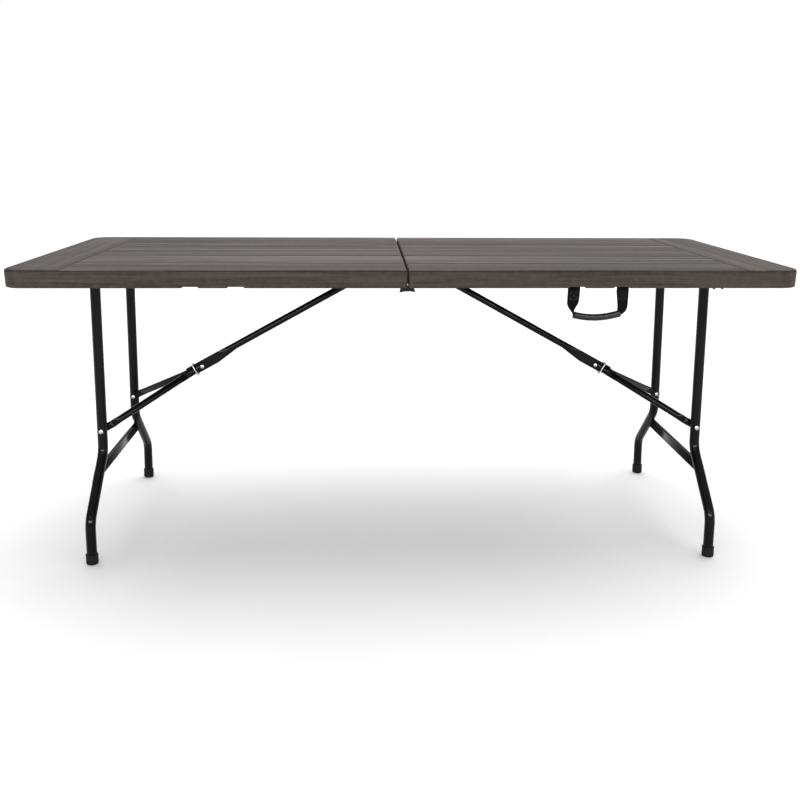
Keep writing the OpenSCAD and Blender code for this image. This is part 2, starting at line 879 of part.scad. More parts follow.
module edge_bumpers() {
    color(rubber_black) for (x = bumper_x) {
        translate([x, -half_depth + rim_wall / 2, panel_bottom]) difference() {
            sphere(r = 3);
            translate([-5, -5, 0]) cube(10);
        }
    }
}

left_top_panel();
left_front_rail();
left_back_rail();
left_seam_beam();
left_brace_bracket();
left_brace_pin();
left_pivot_brackets();
left_rail_screws();
left_front_hinge_leaf();
left_back_hinge_leaf();
front_hinge_pin();
back_hinge_pin();
left_pivot_tube();
left_front_leg();
left_back_leg();
left_crossbar();
left_front_foot_cap();
left_back_foot_cap();
left_leg_rivets();
left_upper_brace();
left_front_lower_arm();
left_back_lower_arm();
left_elbow_rivet();
left_arm_rivet_tails();
left_lock_ring();
right_top_panel();
right_front_rail();
right_back_rail();
right_seam_beam();
right_brace_bracket();
right_brace_pin();
right_pivot_brackets();
right_rail_screws();
right_front_hinge_leaf();
right_back_hinge_leaf();
right_pivot_tube();
right_front_leg();
right_back_leg();
right_crossbar();
right_front_foot_cap();
right_back_foot_cap();
right_leg_rivets();
right_upper_brace();
right_front_lower_arm();
right_back_lower_arm();
right_elbow_rivet();
right_arm_rivet_tails();
right_lock_ring();
handle_strap_inner();
handle_strap_outer();
handle_grip();
strap_anchor_tabs();
strap_anchor_plates();
strap_anchor_screws();
edge_bumpers();
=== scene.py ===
"""Looks of the folding table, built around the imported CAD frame. Metres, Z up."""
import json
import math

import bmesh
import bpy
from mathutils import Matrix, Vector


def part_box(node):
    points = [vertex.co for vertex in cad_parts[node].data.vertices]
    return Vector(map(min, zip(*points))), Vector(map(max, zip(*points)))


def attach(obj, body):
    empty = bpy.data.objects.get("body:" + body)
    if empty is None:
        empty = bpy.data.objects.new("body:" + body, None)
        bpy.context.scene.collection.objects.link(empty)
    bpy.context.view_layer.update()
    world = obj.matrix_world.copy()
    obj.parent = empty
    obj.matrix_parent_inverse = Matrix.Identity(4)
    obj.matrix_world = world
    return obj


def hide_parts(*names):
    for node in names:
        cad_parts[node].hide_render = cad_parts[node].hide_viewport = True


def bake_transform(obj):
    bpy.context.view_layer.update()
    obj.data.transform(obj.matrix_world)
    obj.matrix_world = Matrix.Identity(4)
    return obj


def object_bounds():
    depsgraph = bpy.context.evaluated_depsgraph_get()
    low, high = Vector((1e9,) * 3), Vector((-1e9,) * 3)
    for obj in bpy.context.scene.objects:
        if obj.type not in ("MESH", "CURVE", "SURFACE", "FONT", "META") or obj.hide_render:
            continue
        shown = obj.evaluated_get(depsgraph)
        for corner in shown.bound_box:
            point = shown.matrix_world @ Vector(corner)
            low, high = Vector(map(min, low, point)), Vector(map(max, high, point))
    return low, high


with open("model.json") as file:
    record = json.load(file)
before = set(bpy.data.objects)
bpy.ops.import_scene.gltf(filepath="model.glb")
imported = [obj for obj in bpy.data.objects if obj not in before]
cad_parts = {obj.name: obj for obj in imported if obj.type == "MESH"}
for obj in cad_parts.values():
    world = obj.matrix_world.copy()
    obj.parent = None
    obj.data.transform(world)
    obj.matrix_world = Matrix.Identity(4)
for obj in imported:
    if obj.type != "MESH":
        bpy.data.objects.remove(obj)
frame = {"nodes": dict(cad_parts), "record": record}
cad_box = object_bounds()
joints = {j["name"]: j for j in frame["record"]["behaviour"]["joints"]}
MM = 0.001
TINY = 1e-6                     # metres, below any real step in the shapes
SIDES = (("left", -1), ("right", 1))

# Table top
TOP_Z = cad_box[1].z
HALF_LEN = cad_box[1].x
HALF_DEPTH = cad_box[1].y
SEAM_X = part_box("right_top_panel")[0].x
RIM_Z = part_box("right_top_panel")[0].z
DECK_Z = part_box("right_back_rail")[1].z
CORNER_R = 45 * MM
EDGE_R = 7 * MM
BEAD_Z = TOP_Z - 3.4 * MM       # thin groove along the rounded edge
BEAD_HALF = 0.9 * MM
BEAD_ANGLES = (50.0, 63.0)      # where the groove starts and ends on the rounding
BEAD_DEPTH = 0.8 * MM
FOOT_R = 3 * MM                 # rounding along the lower edge of the skirt
RIM_WALL = 10 * MM
END_BOARD_X = 770 * MM          # inner edge of the board across each end
PLANK_LINES = [y * MM for y in (-248, -104, 14, 142, 262)]
PLANK_TONES = (0.46, 0.62, 0.43, 0.57, 0.41, 0.55)
GROOVE_HALF = 1.6 * MM
GROOVE_DEPTH = 1.3 * MM
STRAP_NOTCHES = [(364 * MM, 403 * MM), (466 * MM, 504 * MM)]
NOTCH_H = 3 * MM
NOTCH_SLOPE = 3 * MM            # run of the sloped ends of a strap notch
HINGE_NOTCH = (331 * MM, 345 * MM)
HINGE_NOTCH_H = 4 * MM
SHEET_STEP = 30 * MM            # widest spacing of the vertices of the top sheet

# Leg frame
PIVOT = Vector(joints["right_leg_fold"]["pos_m"])
LEAN = math.radians(2.23)
LEG_R = 12.5 * MM
LEG_Y = 165 * MM
FOOT_Y = 302 * MM
CRANK_TOP_Z = 246 * MM
CRANK_LOW_Z = 110.5 * MM
BEND_R = 55 * MM
CROSSBAR_W = 32 * MM
CROSSBAR_T = 10 * MM

# Braces
BRACE_PIN = Vector(joints["right_brace_swing"]["pos_m"])
ELBOW = Vector(joints["right_elbow_fold"]["pos_m"])
WIRE_R = 1.75 * MM
SHANK_R = 3 * MM

# Handle
HANDLE = Vector(joints["handle_swing"]["pos_m"])
STRAP_HALF = 14 * MM
STRAP_HALF_T = 0.9 * MM
STRAP_PITCH = 112 * MM
GRIP_R = 9 * MM
GRIP_LEN = 108 * MM
GRIP_SAG = 8 * MM
RIB_H = 0.045                   # height of the ribs, as a share of the radius


# ---- Materials ----

class Shader:
    """A node material with short calls for the nodes that this scene needs."""

    def __init__(self, name):
        self.material = bpy.data.materials.new(name)
        self.material.use_nodes = True
        self.tree = self.material.node_tree
        self.bsdf = self.tree.nodes["Principled BSDF"]
        self.coords = self.node("ShaderNodeTexCoord")

    def node(self, kind, **settings):
        made = self.tree.nodes.new(kind)
        for key, value in settings.items():
            setattr(made, key, value)
        return made

    def wire(self, source, socket):
        if isinstance(source, bpy.types.NodeSocket):
            self.tree.links.new(source, socket)
        else:
            socket.default_value = source

    def math(self, operation, *values, clamp=False):
        made = self.node("ShaderNodeMath", operation=operation, use_clamp=clamp)
        for socket, value in zip(made.inputs, values):
            self.wire(value, socket)
        return made.outputs[0]

    def position(self):
        return self.coords.outputs["Object"]

    def axes(self, vector):
        made = self.node("ShaderNodeSeparateXYZ")
        self.wire(vector, made.inputs[0])
        return made.outputs

    def stretched(self, scale):
        made = self.node("ShaderNodeVectorMath", operation="MULTIPLY")
        self.wire(self.position(), made.inputs[0])
        made.inputs[1].default_value = scale
        return made.outputs[0]

    def noise(self, scale, detail=4.0, roughness=0.55, distortion=0.0, shift=None):
        made = self.node("ShaderNodeTexNoise")
        place = self.stretched(scale)
        if shift is not None:
            moved = self.node("ShaderNodeVectorMath", operation="ADD")
            self.wire(place, moved.inputs[0])
            self.wire(shift, moved.inputs[1])
            place = moved.outputs[0]
        self.wire(place, made.inputs["Vector"])
        made.inputs["Scale"].default_value = 1.0
        made.inputs["Detail"].default_value = detail
        made.inputs["Roughness"].default_value = roughness
        made.inputs["Distortion"].default_value = distortion
        return made.outputs[0]

    def between(self, value, low, high, out_low=0.0, out_high=1.0):
        made = self.node("ShaderNodeMapRange", clamp=True)
        for socket, number in zip(made.inputs, (value, low, high, out_low, out_high)):
            self.wire(number, socket)
        return made.outputs[0]

    def ramp(self, value, stops):
        made = self.node("ShaderNodeValToRGB")
        self.wire(value, made.inputs[0])
        elements = made.color_ramp.elements
        while len(elements) < len(stops):
            elements.new(0.5)
        for element, (place, colour) in zip(elements, stops):
            element.position = place
            element.color = (*colour, 1)
        return made.outputs[0]

    def blend(self, share, first, second, mode="MIX"):
        made = self.node("ShaderNodeMix", data_type="RGBA", blend_type=mode)
        self.wire(share, made.inputs["Factor"])
        self.wire(first, made.inputs["A"])
        self.wire(second, made.inputs["B"])
        return made.outputs["Result"]

    def pick(self, share, first, second):
        made = self.node("ShaderNodeMix", data_type="FLOAT")
        self.wire(share, made.inputs["Factor"])
        self.wire(first, made.inputs["A"])
        self.wire(second, made.inputs["B"])
        return made.outputs["Result"]

    def finish(self, colour, roughness, height=None, depth=0.0005, strength=1.0, **constants):
        self.wire(colour, self.bsdf.inputs["Base Color"])
        self.wire(roughness, self.bsdf.inputs["Roughness"])
        for key, value in constants.items():
            self.bsdf.inputs[key.replace("_", " ")].default_value = value
        if height is not None:
            bump = self.node("ShaderNodeBump")
            bump.inputs["Strength"].default_value = strength
            bump.inputs["Distance"].default_value = depth
            self.wire(height, bump.inputs["Height"])
            self.wire(bump.outputs[0], self.bsdf.inputs["Normal"])
        return self.material


def wood_plastic():
    """Blow-moulded plastic with a wood grain: along X on the planks, along Y on the end boards."""
    s = Shader("moulded_wood_plastic")
    x, y, z = s.axes(s.position())
    normal_x = s.axes(s.coords.outputs["Normal"])[0]
    reach = s.math("ABSOLUTE", x)
    on_top = s.math("GREATER_THAN", z, TOP_Z - 2.5 * MM)
    end_board = s.math("MULTIPLY", s.math("GREATER_THAN", reach, END_BOARD_X), on_top)
    end_skirt = s.math("GREATER_THAN", s.math("ABSOLUTE", normal_x), 0.7)
    across = s.math("MAXIMUM", end_board, end_skirt)

    tone = PLANK_TONES[0]
    gap = s.math("ABSOLUTE", s.math("SUBTRACT", y, PLANK_LINES[0]))
    for line, number in zip(PLANK_LINES, PLANK_TONES[1:]):
        tone = s.pick(s.math("GREATER_THAN", y, line), tone, number)
        gap = s.math("MINIMUM", gap, s.math("ABSOLUTE", s.math("SUBTRACT", y, line)))
    far_apart = 90.0
    other_plank = s.math("MULTIPLY", tone, far_apart)

    def grain(along, fine, **settings):
        finer_ends = 1.23
        planks = s.noise((along, fine, fine), shift=other_plank, **settings)
        ends = s.noise((fine * finer_ends, along, fine), **settings)
        return s.pick(across, planks, ends)

    broad = grain(0.9, 30.0, detail=4.0, roughness=0.62, distortion=0.4)
    streak = grain(3.0, 120.0, detail=7.0, roughness=0.7, distortion=0.35)
    fibre = grain(14.0, 900.0, detail=3.0, roughness=0.6)
    figure = s.pick(s.pick(on_top, 0.80, 0.45), broad, streak)
    contrast = s.pick(on_top, 0.48, s.pick(end_board, 1.3, 0.75))
    figure = s.math("ADD", s.math("MULTIPLY", s.math("SUBTRACT", figure, 0.5), contrast), 0.5)
    colour = s.ramp(figure, [
        (0.34, (0.0164, 0.0122, 0.0105)), (0.455, (0.0410, 0.0325, 0.0288)),
        (0.53, (0.0758, 0.0610, 0.0546)), (0.65, (0.1390, 0.1150, 0.1036)),
    ])
    tone = s.pick(across, tone, 0.5)
    tint = s.ramp(tone, [(0.4, (0.30, 0.29, 0.28)), (0.6, (0.70, 0.69, 0.68))])
    colour = s.blend(0.45, colour, tint, "OVERLAY")
    gap = s.pick(s.math("LESS_THAN", reach, END_BOARD_X), 1.0, gap)
    gap = s.math("MINIMUM", gap, s.math("ABSOLUTE", s.math("SUBTRACT", reach, END_BOARD_X)))
    # Painted shade: a soft dark band along each plank groove, the end-board groove and the bead groove on
    # the rounded edge, standing for the shade inside these grooves
    groove_shade = s.math("MULTIPLY", s.between(gap, 1.4 * MM, 6 * MM, 1.0, 0.0), on_top)
    groove_shade = s.math("MAXIMUM", groove_shade, s.math("COMPARE", z, BEAD_Z, BEAD_HALF))
    # Colour of the painted groove shade
    groove_shade_colour = (0.022, 0.019, 0.018, 1)
    colour = s.blend(s.math("MULTIPLY", groove_shade, 0.75), colour, groove_shade_colour)
    under = s.math("LESS_THAN", s.axes(s.coords.outputs["Normal"])[2], -0.4)
    underside_brown = (0.046, 0.040, 0.038, 1)
    colour = s.blend(s.math("MULTIPLY", under, 0.75), colour, underside_brown)
    wear = s.between(s.noise((60.0, 60.0, 60.0), detail=3.0), 0.45, 0.75, 0.0, 0.16)
    rubbed_grey = (0.15, 0.135, 0.127, 1)
    colour = s.blend(wear, colour, rubbed_grey)
    rough = s.math("ADD", s.math("MULTIPLY", streak, 0.22), 0.44)
    height = s.math("ADD", s.math("MULTIPLY", streak, 0.75), s.math("MULTIPLY", fibre, 0.25))
    return s.finish(colour, rough, height, depth=0.0011, strength=0.75, Specular_IOR_Level=0.08)


def powder_coat(name, dark, light, roughness):
    """Black powder coat on steel: fine orange peel and a little tone variation."""
    s = Shader(name)
    patch = s.noise((9.0, 9.0, 9.0), detail=3.0)
    colour = s.ramp(patch, [(0.35, dark), (0.65, light)])
    peel = s.noise((900.0, 900.0, 900.0), detail=2.0)
    rough = s.math("ADD", s.math("MULTIPLY", patch, 0.16), roughness - 0.08)
    return s.finish(colour, rough, peel, depth=0.00001, strength=0.4, Specular_IOR_Level=0.12)


def bright_zinc():
    s = Shader("bright_zinc")
    patch = s.noise((220.0, 220.0, 220.0), detail=5.0, roughness=0.7)
    colour = s.ramp(patch, [(0.3, (0.34, 0.34, 0.33)), (0.6, (0.58, 0.58, 0.56))])
    rough = s.math("ADD", s.math("MULTIPLY", patch, 0.3), 0.16)
    return s.finish(colour, rough, patch, depth=0.0001, strength=0.5, Metallic=1.0)


def foot_plastic():
    s = Shader("foot_plastic")
    patch = s.noise((130.0, 130.0, 130.0), detail=5.0)
    dusty = s.between(s.axes(s.position())[2], 0.0, 9 * MM, 0.55, 0.0)
    dust_grey = (0.018, 0.017, 0.016, 1)
    colour = s.ramp(patch, [(0.3, (0.0035, 0.0035, 0.0035)), (0.7, (0.0095, 0.009, 0.009))])
    colour = s.blend(dusty, colour, dust_grey)
    rough = s.math("ADD", s.math("MULTIPLY", patch, 0.25), 0.48)
    return s.finish(colour, rough, patch, depth=0.0003, strength=0.6, Specular_IOR_Level=0.16)


def webbing():
    """Woven polypropylene webbing, with ribs along the strap crossed by fine picks."""
    s = Shader("black_webbing")
    x, _, z = s.axes(s.position())
    rib, pick = 1.9 * MM, 1.25 * MM
    warp = s.math("SINE", s.math("MULTIPLY", x, 2 * math.pi / rib))
    zigzag = s.math("MULTIPLY", warp, 0.9)
    weft = s.math("SINE", s.math("ADD", s.math("MULTIPLY", z, 2 * math.pi / pick), zigzag))
    weave = s.math("ADD", s.math("MULTIPLY", warp, 0.5), s.math("MULTIPLY", weft, 0.5))
    dust = s.noise((90.0, 90.0, 90.0), detail=4.0)
    tone = s.math("ADD", s.math("MULTIPLY", weave, 0.22), dust)
    colour = s.ramp(tone, [(0.25, (0.002, 0.0017, 0.0018)), (0.75, (0.010, 0.0086, 0.0088))])
    return s.finish(colour, 0.68, weave, depth=0.00035, strength=0.9, Specular_IOR_Level=0.04,
                    Sheen_Weight=0.01)


def thread():
    s = Shader("black_thread")
    twist = s.noise((1500.0, 1500.0, 500.0), detail=2.0)
    colour = s.ramp(twist, [(0.3, (0.015, 0.015, 0.016)), (0.7, (0.05, 0.05, 0.052))])
    return s.finish(colour, 0.5, twist, depth=0.0002)


def grip_sleeve():
    s = Shader("grip_sleeve")
    patch = s.noise((70.0, 300.0, 300.0), detail=5.0, roughness=0.65)
    colour = s.ramp(patch, [(0.35, (0.004, 0.004, 0.0042)), (0.65, (0.024, 0.023, 0.024))])
    rough = s.math("ADD", s.math("MULTIPLY", patch, 0.3), 0.16)
    return s.finish(colour, rough, patch, depth=0.00025, strength=0.9, Specular_IOR_Level=0.25)


WOOD = wood_plastic()
TUBE = powder_coat("coated_tube", (0.0032, 0.0029, 0.0030), (0.0068, 0.0061, 0.0064), 0.155)
STEEL = powder_coat("coated_steel", (0.008, 0.0075, 0.008), (0.018, 0.0165, 0.017), 0.40)
ZINC = bright_zinc()
FOOT = foot_plastic()
WEBBING = webbing()
THREAD = thread()
SLEEVE = grip_sleeve()


# ---- Mesh helpers ----

def make_piece(name, mesh, material, body, nodes, sharp=35.0):
    """Puts a finished mesh on a CAD body, in place of the CAD nodes that it stands for."""
    mesh.materials.clear()
    mesh.materials.append(material)
    mesh.shade_smooth()
    mesh.set_sharp_from_angle(angle=math.radians(sharp))
    piece = bpy.data.objects.new(name, mesh)
    bpy.context.collection.objects.link(piece)
    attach(piece, body)
    if nodes:
        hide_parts(*nodes)
    return piece


def cleaned(bm, name):
    """Merges doubles, faces everything outward and returns the mesh."""
    bmesh.ops.remove_doubles(bm, verts=bm.verts, dist=TINY)
    bmesh.ops.dissolve_degenerate(bm, edges=bm.edges, dist=TINY / 10)
    bmesh.ops.recalc_face_normals(bm, faces=bm.faces)
    mesh = bpy.data.meshes.new(name)
    bm.to_mesh(mesh)
    bm.free()
    return mesh


def add_rings(bm, rings, closed=True, capped=True):
    """Skins a list of point rings of equal length, and caps its two ends with fans."""
    made = [[bm.verts.new(p) for p in ring] for ring in rings]
    count = len(rings[0])
    for low, high in zip(made, made[1:]):
        for i in range(count if closed else count - 1):
            j = (i + 1) % count
            bm.faces.new((low[i], low[j], high[j], high[i]))
    if capped:
        for ring in (made[0], made[-1]):
            hub = bm.verts.new(sum((v.co for v in ring), Vector()) / count)
            for i in range(count):
                bm.faces.new((ring[i], ring[(i + 1) % count], hub))
    return made


def add_tube(bm, path, radius, sides=16, capped=True, closed=False, ripple=None):
    """Round tube along a path of points, with no twist."""
    rings = []
    last = None
    count = len(path)
    for i, point in enumerate(path):
        before = path[i - 1] if i or closed else path[0]
        after = path[(i + 1) % count] if i < count - 1 or closed else path[-1]
        heading = (after - before).normalized()
        if last is None:
            last = heading.orthogonal().normalized()
        last = (last - heading * last.dot(heading)).normalized()
        side = heading.cross(last)
        r = radius * (1 if ripple is None else ripple(i))
        rings.append([
            point + r * (math.cos(a) * last + math.sin(a) * side)
            for a in (2 * math.pi * k / sides for k in range(sides))
        ])
    if closed:
        rings.append(rings[0])
    add_rings(bm, rings, capped=capped and not closed)


def add_lathe(bm, profile, place, sides=40):
    """Turns (radius, height) pairs about the Z axis of the place matrix."""
    rings = [
        [place @ Vector((r * math.cos(a), r * math.sin(a), h))
         for a in (2 * math.pi * k / sides for k in range(sides))]
        for r, h in profile
    ]
    add_rings(bm, rings)


def flipped(points, side):
    return [Vector((side * p.x, p.y, p.z)) for p in points]


def smooth_copy(node, body, material, sharp=32.0):
    """The CAD node's own shape with its facets shaded smooth."""
    bm = bmesh.new()
    bm.from_mesh(frame["nodes"][node].data)
    mesh = cleaned(bm, node + "_smooth")
    return make_piece(node + "_smooth", mesh, material, body, [node], sharp)


# ---- Table top ----

def notch_floor(x, y, on_front, on_seam):
    """Height of the lower edge of the skirt at a point of the outline."""
    if on_front:
        for low, high in STRAP_NOTCHES:
            if low + NOTCH_SLOPE - TINY <= x <= high - NOTCH_SLOPE + TINY:
                return RIM_Z + NOTCH_H
    if on_seam and HINGE_NOTCH[0] + TINY < abs(y) < HINGE_NOTCH[1] - TINY:
        return RIM_Z + HINGE_NOTCH_H
    return RIM_Z


def spaced(stops, step):
    """The stops, with evenly spaced values between them."""
    values = []
    for low, high in zip(stops, stops[1:]):
        parts = max(1, round((high - low) / step))
        values += [low + (high - low) * k / parts for k in range(parts)]
    return values + [stops[-1]]


def top_columns():
    """X of the columns of vertices across one half, with the edges of every groove and notch."""
    stops = [SEAM_X + EDGE_R, HALF_LEN - CORNER_R]
    stops += [END_BOARD_X + d for d in (-GROOVE_HALF, 0, GROOVE_HALF)]
    for low, high in STRAP_NOTCHES:
        stops += [low, low + NOTCH_SLOPE, high - NOTCH_SLOPE, high]
    return spaced(sorted(stops), SHEET_STEP)


def top_rows():
    """Y of the rows of vertices, with the arc of the corners and the edges of every groove and notch."""
    yc = HALF_DEPTH - CORNER_R
    r = CORNER_R - EDGE_R
    steps = 10
    arc = [yc + r * math.sin(math.pi / 2 * k / steps) for k in range(steps + 1)]
    stops = [-yc, yc] + [line + d for line in PLANK_LINES for d in (-GROOVE_HALF, 0, GROOVE_HALF)]
    middle = spaced(sorted(stops), SHEET_STEP)
    cut = 0.2 * MM
    middle += [s * (y + d) for s in (-1, 1) for y in HINGE_NOTCH for d in (-cut, cut)]
    rows = sorted(middle + arc[1:] + [-y for y in arc[1:]])
    return [y for y, after in zip(rows, rows[1:] + [math.inf]) if after - y > TINY]


def top_height(x, y):
    """Top sheet with a V groove along each plank line and along the end board."""
    depth = 0.0
    if abs(x - END_BOARD_X) < TINY:
        depth = GROOVE_DEPTH
    if x < END_BOARD_X and min(abs(y - line) for line in PLANK_LINES) < TINY:
        depth = GROOVE_DEPTH
    return TOP_Z - depth


def row_end(y):
    """Half length of the flat top at a given y, less in the rounded corners."""
    over = abs(y) - (HALF_DEPTH - CORNER_R)
    r = CORNER_R - EDGE_R
    if over <= 0:
        return HALF_LEN - EDGE_R
    return HALF_LEN - CORNER_R + math.sqrt(max(0.0, r * r - over * over))


def outline_points(columns, rows):
    """Boundary of the top sheet: point, way out, way in past the edge rounding, lower edge."""
    points = []
    front, back, seam = rows[0], rows[-1], columns[0]
    turns = 6

    def seam_corner(y, start):
        sign = 1 if y > 0 else -1
        for k in range(turns + 1):
            a = start + math.pi / 2 * k / turns
            points.append(((seam, y), (math.cos(a), math.sin(a)), (-1, sign), RIM_Z))

    seam_corner(front, math.pi)
    for x in columns[1:]:
        points.append(((x, front), (0, -1), (0, -1), notch_floor(x, front, True, False)))
    centre_x = HALF_LEN - CORNER_R
    for y in rows[1:-1]:
        over = abs(y) - (HALF_DEPTH - CORNER_R)
        end = row_end(y)
        out = Vector((1, 0))
        if over > 0:
            out = Vector((end - centre_x, math.copysign(over, y))).normalized()
        points.append(((end, y), tuple(out), tuple(out), RIM_Z))
    for x in reversed(columns[1:]):
        points.append(((x, back), (0, 1), (0, 1), RIM_Z))
    seam_corner(back, math.pi / 2)
    for y in reversed(rows[1:-1]):
        points.append(((seam, y), (-1, 0), (-1, 0), notch_floor(seam, y, False, True)))
    return points


def skirt_profile():
    """(inset, height, follows the lower edge) from the top sheet over the edge, down, and up inside."""
    start, stop = BEAD_ANGLES
    profile = []
    for degrees in (0, 12, 24, 36, start, start + 4, stop - 4, stop, 72, 81, 90):
        a = math.radians(degrees)
        r = EDGE_R - (BEAD_DEPTH if start < degrees < stop else 0)
        profile.append((EDGE_R - r * math.sin(a), TOP_Z - EDGE_R + r * math.cos(a), False))
    for k in range(5):
        b = math.pi / 2 * k / 4
        profile.append((FOOT_R * (1 - math.cos(b)), FOOT_R * (1 - math.sin(b)), True))
    bevel = 0.8 * MM
    profile += [(RIM_WALL - bevel, 0, True), (RIM_WALL, bevel, True), (RIM_WALL, DECK_Z, False)]
    return profile


def add_top_shell(bm):
    columns, rows = top_columns(), top_rows()
    stretched = 8
    centre_x = HALF_LEN - CORNER_R
    grid = []
    for y in rows:
        end = row_end(y)
        xs = columns + [centre_x + (end - centre_x) * k / stretched for k in range(1, stretched + 1)]
        grid.append([bm.verts.new((x, y, top_height(x, y))) for x in xs])
    for low, high in zip(grid, grid[1:]):
        for i in range(len(low) - 1):
            bm.faces.new((low[i], low[i + 1], high[i + 1], high[i]))
    outline = outline_points(columns, rows)
    rings = []
    for inset, height, follows in skirt_profile():
        ring = []
        for (x, y), out, past, floor in outline:
            push = EDGE_R - inset
            way = out if push >= 0 else past
            z = floor + height if follows else height
            if inset == EDGE_R and height == TOP_Z:
                z = top_height(x, y)
            ring.append(Vector((x + way[0] * push, y + way[1] * push, z)))
        rings.append(ring)
    add_rings(bm, rings, capped=False)


def add_underside(bm, node):
    """The moulded pockets, ribs and channels under the top, from the CAD node."""
    source = bmesh.new()
    source.from_mesh(frame["nodes"][node].data)
    margin = 0.2 * MM
    copies = {}
    for face in source.faces:
        heights = [v.co.z for v in face.verts]
        if min(heights) < DECK_Z - margin or max(heights) > TOP_Z - 3 * MM:
            continue
        for v in face.verts:
            if v.index not in copies:
                copies[v.index] = bm.verts.new((abs(v.co.x), v.co.y, v.co.z))
        try:
            bm.faces.new([copies[v.index] for v in face.verts])
        except ValueError:
            continue
    source.free()


def build_tops():
    for side, sign in SIDES:
        bm = bmesh.new()
        add_top_shell(bm)
        add_underside(bm, side + "_top_panel")
        for v in bm.verts:
            v.co.x *= sign
        mesh = cleaned(bm, side + "_top")
        make_piece(side + "_top", mesh, WOOD, side + "_half", [side + "_top_panel"], 38.0)


# ---- Leg frames ----

def leg_point(down, across, out=0.0):
    """Point of a leg frame from its distance down the leg, across and outward."""
    return Vector((
        PIVOT.x + down * math.sin(LEAN) + out * math.cos(LEAN), across,
        PIVOT.z - down * math.cos(LEAN) + out * math.sin(LEAN),
    ))


def down_leg(z):
    return (PIVOT.z - z) / math.cos(LEAN)


def leg_path():
    """(down, across) along the middle of a leg, with its two bends; the ends stop inside other pieces."""
    top, low = down_leg(CRANK_TOP_Z), down_leg(CRANK_LOW_Z)
    angle = math.atan2(FOOT_Y - LEG_Y, low - top)
    cut = BEND_R * math.tan(angle / 2)
    steps = 10
    start, straight = 10 * MM, 60 * MM
    path = [(0.0, LEG_Y), (start, LEG_Y), (top - cut - straight, LEG_Y)]
    for k in range(steps + 1):
        h = angle * k / steps
        path.append((top - cut + BEND_R * math.sin(h), LEG_Y + BEND_R * (1 - math.cos(h))))
    for k in range(steps + 1):
        h = angle * (1 - k / steps)
        path.append((low + cut - BEND_R * math.sin(h), FOOT_Y - BEND_R * (1 - math.cos(h))))
    inside_cap = 8 * MM
    path.append((down_leg(0) - inside_cap, FOOT_Y))
    return path


def rippled(i):
    """Weld beads swell and shrink from one point of their path to the next."""
    return 1 + 0.16 * (i % 2)


def add_pivot_weld(bm, end):
    """Weld bead where the pivot tube leaves the leg."""
    tube_r, bead_r = 11 * MM, 1.7 * MM
    steps = 24
    just_short = 0.98
    for face in (-1, 1):
        path = []
        for k in range(steps + 1):
            a = math.pi * (k / steps - 0.5) * just_short
            down, out = tube_r * math.cos(a), tube_r * math.sin(a)
            reach = math.sqrt(LEG_R ** 2 - out ** 2)
            path.append(leg_point(down, end * (LEG_Y + face * reach), out))
        add_tube(bm, path, bead_r, sides=10, ripple=rippled)


def add_crossbar_weld(bm, end):
    """Bead round the end of the oval crossbar, on the slanted run of the leg."""
    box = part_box("right_crossbar")
    middle = (box[0] + box[1]) / 2
    along = (PIVOT.z - middle.z) * math.cos(LEAN) + (middle.x - PIVOT.x) * math.sin(LEAN)
    out = (middle.x - PIVOT.x) * math.cos(LEAN) - (PIVOT.z - middle.z) * math.sin(LEAN)
    top, low = down_leg(CRANK_TOP_Z), down_leg(CRANK_LOW_Z)
    slope = (FOOT_Y - LEG_Y) / (low - top)
    flat = (CROSSBAR_W - CROSSBAR_T) / 2
    round_r = CROSSBAR_T / 2 + 0.5 * MM
    bead_r = 1.5 * MM
    most_out = 0.88 * LEG_R
    steps = 14
    turns = [math.pi * (k / steps - 0.5) for k in range(steps + 1)]
    section = [(flat + round_r * math.cos(a), round_r * math.sin(a)) for a in turns]
    section += [(-x, -y) for x, y in section]
    path = []
    for x, y in section:
        down = along + x
        away = min(out + y, most_out)
        inward = math.sqrt(LEG_R ** 2 - away ** 2) * math.sqrt(1 + slope ** 2)
        path.append(leg_point(down, end * (LEG_Y + slope * (down - top) - inward), away))
    add_tube(bm, path, bead_r, sides=10, closed=True, ripple=rippled)


def build_legs():
    for side, sign in SIDES:
        for name, end in (("front", -1), ("back", 1)):
            bm = bmesh.new()
            path = [leg_point(down, end * across) for down, across in leg_path()]
            add_tube(bm, flipped(path, sign), LEG_R, sides=40)
            welds = bmesh.new()
            add_pivot_weld(welds, end)
            add_crossbar_weld(welds, end)
            for v in welds.verts:
                v.co.x *= sign
            bead = bpy.data.meshes.new("bead")
            welds.to_mesh(bead)
            welds.free()
            bm.from_mesh(bead)
            bpy.data.meshes.remove(bead)
            node = f"{side}_{name}_leg"
            make_piece(node + "_tube", cleaned(bm, node), TUBE, side + "_leg_frame", [node],
                       50.0)


def build_foot_caps():
    """Moulded caps, with a groove above the tread and a rolled top edge."""
    profile = [
        (0.0125, 0.0), (0.0138, 0.0005), (0.0147, 0.002), (0.0150, 0.0045), (0.0150, 0.0085),
        (0.0145, 0.0092), (0.0145, 0.0100), (0.0149, 0.0107), (0.0147, 0.0205),
        (0.0150, 0.0225), (0.0150, 0.0245), (0.0146, 0.0256), (0.0137, 0.0260), (0.0124, 0.0258),
    ]
    for side, sign in SIDES:
        for name, end in (("front", -1), ("back", 1)):
            floor_point = leg_point(down_leg(0), end * FOOT_Y)
            floor_point.x *= sign
            place = Matrix.Translation(floor_point) @ Matrix.Rotation(-sign * LEAN, 4, "Y")
            bm = bmesh.new()
            add_lathe(bm, profile, place)
            for v in bm.verts:
                v.co.z = max(v.co.z, 0.0)
            node = f"{side}_{name}_foot_cap"
            make_piece(node + "_turned", cleaned(bm, node), FOOT, side + "_leg_frame", [node],
                       30.0)


# ---- Rivets and lock rings ----

